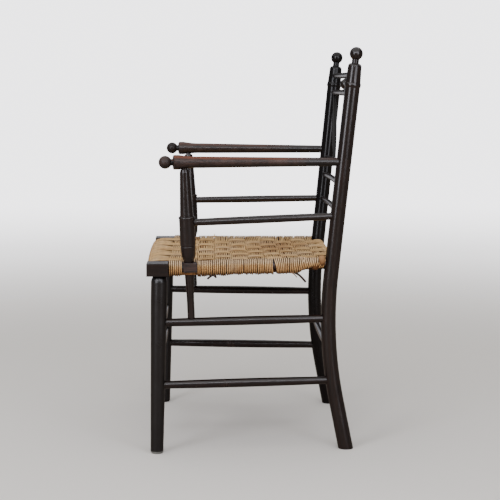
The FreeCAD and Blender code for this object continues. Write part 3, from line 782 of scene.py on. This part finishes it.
class ARMCHAIR_OT_pack_side_rails(bpy.types.Operator):
    """Lays the earlier turns that are packed under each side rail, in front of its boss and behind it"""
    bl_idname = "armchair.pack_side_rails"
    bl_label = "Pack the side rails"

    def execute(self, context):
        seat = context.scene.armchair_seat
        packing = []
        for sign in (1, -1):
            for depths in ((-0.176, -0.164, -0.150), (-0.121, -0.06, 0.0, 0.05, 0.093)):
                along = [(y, *side_rail(y)) for y in depths]
                packing.append([(sign * x, y, z - radius - 0.6 * slack_at(y)) for y, x, z, radius in along])
        # Painted shade: the packing lies below the rails and takes the dark underside colour all over
        material = seagrass_cord("seagrass_cord_packing", seat, AXIS_Y, length=0.23, age=1.0,
                                 dark=(0.400, 0.390), underside_shade_strength=1.0)
        cord_piece("packing_cords", packing, diameter=0.0068, material=material)
        return {"FINISHED"}


class ARMCHAIR_OT_bind_bosses(bpy.types.Operator):
    """Lays the cords that pass outside each arm support below its boss"""
    bl_idname = "armchair.bind_bosses"
    bl_label = "Bind the bosses"

    def execute(self, context):
        seat = context.scene.armchair_seat
        round_support = ((0.2290, -0.158), (0.2380, -0.151), (0.2428, -0.143),
                         (0.2428, -0.128), (0.2380, -0.119), (0.2270, -0.113))
        levels = (0.3848, 0.3820)
        binding = [[(sign * x, y, z) for x, y in round_support] for sign in (1, -1) for z in levels]
        # Painted shade: darker towards the bottom, and in the groove between the two cords
        material = seagrass_cord("seagrass_cord_bindings", seat, AXIS_Y, length=0.06, beside=AXIS_Z,
                                 age=1.0, dark=(0.396, 0.382), underside_shade_strength=0.75)
        cord_piece("boss_bindings", binding, diameter=0.0033, material=material)
        return {"FINISHED"}


class ARMCHAIR_OT_lay_loose_ends(bpy.types.Operator):
    """Adds the broken ends of cord at the edges of the worn seat"""
    bl_idname = "armchair.lay_loose_ends"
    bl_label = "Lay the loose ends"

    def execute(self, context):
        seat = context.scene.armchair_seat
        # Below the left side: one that hangs, and a small arch
        hanging = [
            ((0.200, 0.088, 0.3780), (0.213, 0.0905, 0.3785), (0.2195, 0.0985, 0.3730),
             (0.224, 0.1075, 0.3625)),
            ((0.229, -0.0985, 0.3705), (0.229, -0.0920, 0.3760), (0.229, -0.0875, 0.3785),
             (0.229, -0.0835, 0.3775), (0.229, -0.0795, 0.3730)),
        ]
        # Painted shade: the hanging ends lie below the rails and take the hanging colour all over
        dark = seagrass_cord("seagrass_cord_hanging", seat, AXIS_Z, length=0.03, age=1.0,
                             dark=(0.400, 0.390), underside_shade_strength=1.0, deep=seat.hanging)
        cord_piece("hanging_ends", hanging, diameter=0.0045, material=dark)
        # A short curl below the left side, two over it near the back, and a tuft upright on the right side
        loose = [
            ((0.214, 0.078, 0.381), (0.219, 0.0835, 0.3785), (0.221, 0.0865, 0.3755),
             (0.221, 0.0890, 0.3720)),
            ((0.186, 0.095, 0.4095), (0.196, 0.099, 0.4125), (0.206, 0.103, 0.4095), (0.212, 0.105, 0.402)),
            ((0.186, 0.103, 0.4095), (0.196, 0.105, 0.4120), (0.205, 0.108, 0.4090), (0.211, 0.112, 0.400)),
            ((-0.196, -0.085, 0.406), (-0.201, -0.083, 0.4125), (-0.203, -0.081, 0.4165)),
            ((-0.196, -0.080, 0.406), (-0.202, -0.081, 0.4120), (-0.203, -0.083, 0.4145)),
        ]
        pale = seagrass_cord("seagrass_cord_loose", seat, AXIS_Z, length=0.03)
        cord_piece("loose_ends", loose, diameter=0.0020, material=pale)
        return {"FINISHED"}


class ARMCHAIR_OT_set_stage(bpy.types.Operator):
    """Lays the floor and sets the light and the camera"""
    bl_idname = "armchair.set_stage"
    bl_label = "Set the stage"

    def execute(self, context):
        stage = context.scene.armchair_stage
        self.lay_floor(context, stage)
        self.light_surround(context, stage)
        self.hang_lights(context)
        self.set_camera(context, stage)
        return {"FINISHED"}

    def lay_floor(self, context, stage):
        """A wide floor, just below the feet."""
        bpy.ops.object.select_all(action="DESELECT")
        bpy.ops.mesh.primitive_plane_add(size=80.0, location=(0, 0, -0.0003))
        floor = context.object
        floor.name = "floor"
        bpy.ops.object.transform_apply(location=True, rotation=True, scale=True)
        floor.data.materials.append(self.plain_floor(stage))

    # Matt painted floor: pale and plain near the chair, and further out as bright as the backdrop, so that
    # no horizon shows.
    def plain_floor(self, stage):
        material, tree, output = new_material("matt_painted_floor")
        place = add_node(tree, "TexCoord").outputs["Object"]
        out = add_node(tree, "VectorMath", {"operation": "LENGTH"}, {0: place}).outputs["Value"]
        fade = add_node(tree, "MapRange",
                        {"interpolation_type": "SMOOTHSTEP", "From Min": stage.clear_floor,
                         "From Max": stage.faded_floor},
                        {"Value": out}).outputs["Result"]
        seen = add_node(tree, "LightPath").outputs["Is Camera Ray"]
        fade = add_node(tree, "Math", {"operation": "MULTIPLY"},
                        {0: fade, 1: seen}).outputs["Value"]
        colour = add_node(tree, "Mix",
                          {"data_type": "RGBA", 6: tuple(stage.floor_bounce), 7: tuple(stage.floor)},
                          {0: seen}).outputs[2]
        paint = add_node(tree, "BsdfPrincipled", {"Roughness": 0.8, "Specular IOR Level": 0.2},
                         {"Base Color": colour})
        glow = add_node(tree, "Emission",
                        {"Color": tuple(stage.surround), "Strength": stage.backdrop_light})
        mixed = add_node(tree, "MixShader", None,
                         {0: fade, 1: paint.outputs["BSDF"], 2: glow.outputs["Emission"]})
        tree.links.new(mixed.outputs["Shader"], output.inputs["Surface"])
        return material

    def light_surround(self, context, stage):
        """Soft light from all round, which looks brighter than the light it gives."""
        world = bpy.data.worlds.new("soft_studio")
        world.use_nodes = True
        context.scene.world = world
        tree = world.node_tree
        tree.nodes.clear()
        colour = tuple(stage.surround)
        light = add_node(tree, "Background",
                         {"Color": colour, "Strength": stage.surround_light})
        backdrop = add_node(tree, "Background",
                            {"Color": colour, "Strength": stage.backdrop_light})
        seen = add_node(tree, "LightPath").outputs["Is Camera Ray"]
        mixed = add_node(tree, "MixShader", None,
                         {0: seen, 1: light.outputs["Background"], 2: backdrop.outputs["Background"]})
        add_node(tree, "OutputWorld", None, {"Surface": mixed.outputs["Shader"]})

    def hang_lights(self, context):
        """Windows for long highlights on the turned wood, a panel behind the chair and a ceiling light."""
        middle = Vector((0, 0, 0.5))
        # Name, place, width, height and power
        for name, place, width, height, power in (
            ("window_left", (2.35, -1.95, 1.35), 1.0, 2.2, 48.0),
            ("window_right", (2.65, 1.55, 1.35), 1.0, 2.2, 32.0),
            ("window_above", (3.1, -0.1, 2.05), 2.0, 0.45, 26.0),
            ("panel_behind", (-3.2, 0.2, 0.58), 6.5, 0.75, 8.5),
        ):
            aim = (middle - Vector(place)).to_track_quat("-Z", "Y").to_euler()
            bpy.ops.object.light_add(type="AREA", location=place, rotation=aim)
            window = context.object
            window.name = name
            window.data.shape = "RECTANGLE"
            window.data.size = width
            window.data.size_y = height
            window.data.energy = power
            window.data.color = linear("#f5f6ff")[:3]
            window.visible_camera = False

        bpy.ops.object.light_add(type="SUN", location=(0, 0, 4),
                                 rotation=(math.radians(8), math.radians(12), 0))
        ceiling = context.object
        ceiling.name = "ceiling_light"
        ceiling.data.angle = math.radians(110)
        ceiling.data.energy = 2.35

    def set_camera(self, context, stage):
        """The camera at the viewing angle, turned by its yaw and pitch from looking along -X."""
        yaw, pitch = stage.camera_yaw, stage.camera_pitch
        level = math.cos(pitch)
        ahead = Vector((-level * math.cos(yaw), level * math.sin(yaw), -math.sin(pitch)))
        aim = ahead.to_track_quat("-Z", "Y").to_euler()
        bpy.ops.object.camera_add(location=stage.camera_place, rotation=aim)
        camera = context.object
        camera.name = "photo_camera"
        camera.data.lens = stage.camera_lens
        camera.data.sensor_width = 36.0
        context.scene.camera = camera


class ARMCHAIR_PT_panel(bpy.types.Panel):
    """Lists the steps of making the armchair"""
    bl_label = "Turned Armchair"
    bl_idname = "ARMCHAIR_PT_panel"
    bl_space_type = "VIEW_3D"
    bl_region_type = "UI"
    bl_category = "Armchair"

    def draw(self, context):
        for operator in OPERATORS:
            self.layout.operator(operator.bl_idname)
        scene = context.scene
        for group in (scene.armchair_wood, scene.armchair_seat, scene.armchair_stage):
            box = self.layout.box()
            for name in group.__annotations__:
                box.prop(group, name)


OPERATORS = (
    ARMCHAIR_OT_ebonise_frame,
    ARMCHAIR_OT_lay_crosswise_cords,
    ARMCHAIR_OT_lay_lengthwise_cords,
    ARMCHAIR_OT_wind_corner_rolls,
    ARMCHAIR_OT_pack_side_rails,
    ARMCHAIR_OT_bind_bosses,
    ARMCHAIR_OT_lay_loose_ends,
    ARMCHAIR_OT_set_stage,
)
CLASSES = (ArmchairWood, ArmchairSeat, ArmchairStage, *OPERATORS, ARMCHAIR_PT_panel)


def register():
    for made in CLASSES:
        bpy.utils.register_class(made)
    bpy.types.Scene.armchair_wood = bpy.props.PointerProperty(type=ArmchairWood)
    bpy.types.Scene.armchair_seat = bpy.props.PointerProperty(type=ArmchairSeat)
    bpy.types.Scene.armchair_stage = bpy.props.PointerProperty(type=ArmchairStage)


def unregister():
    del bpy.types.Scene.armchair_stage
    del bpy.types.Scene.armchair_seat
    del bpy.types.Scene.armchair_wood
    for made in reversed(CLASSES):
        bpy.utils.unregister_class(made)


def main():
    register()
    bpy.ops.armchair.ebonise_frame()
    bpy.ops.armchair.lay_crosswise_cords()
    bpy.ops.armchair.lay_lengthwise_cords()
    bpy.ops.armchair.wind_corner_rolls()
    bpy.ops.armchair.pack_side_rails()
    bpy.ops.armchair.bind_bosses()
    bpy.ops.armchair.lay_loose_ends()
    bpy.ops.armchair.set_stage()


if __name__ == "__main__":
    main()
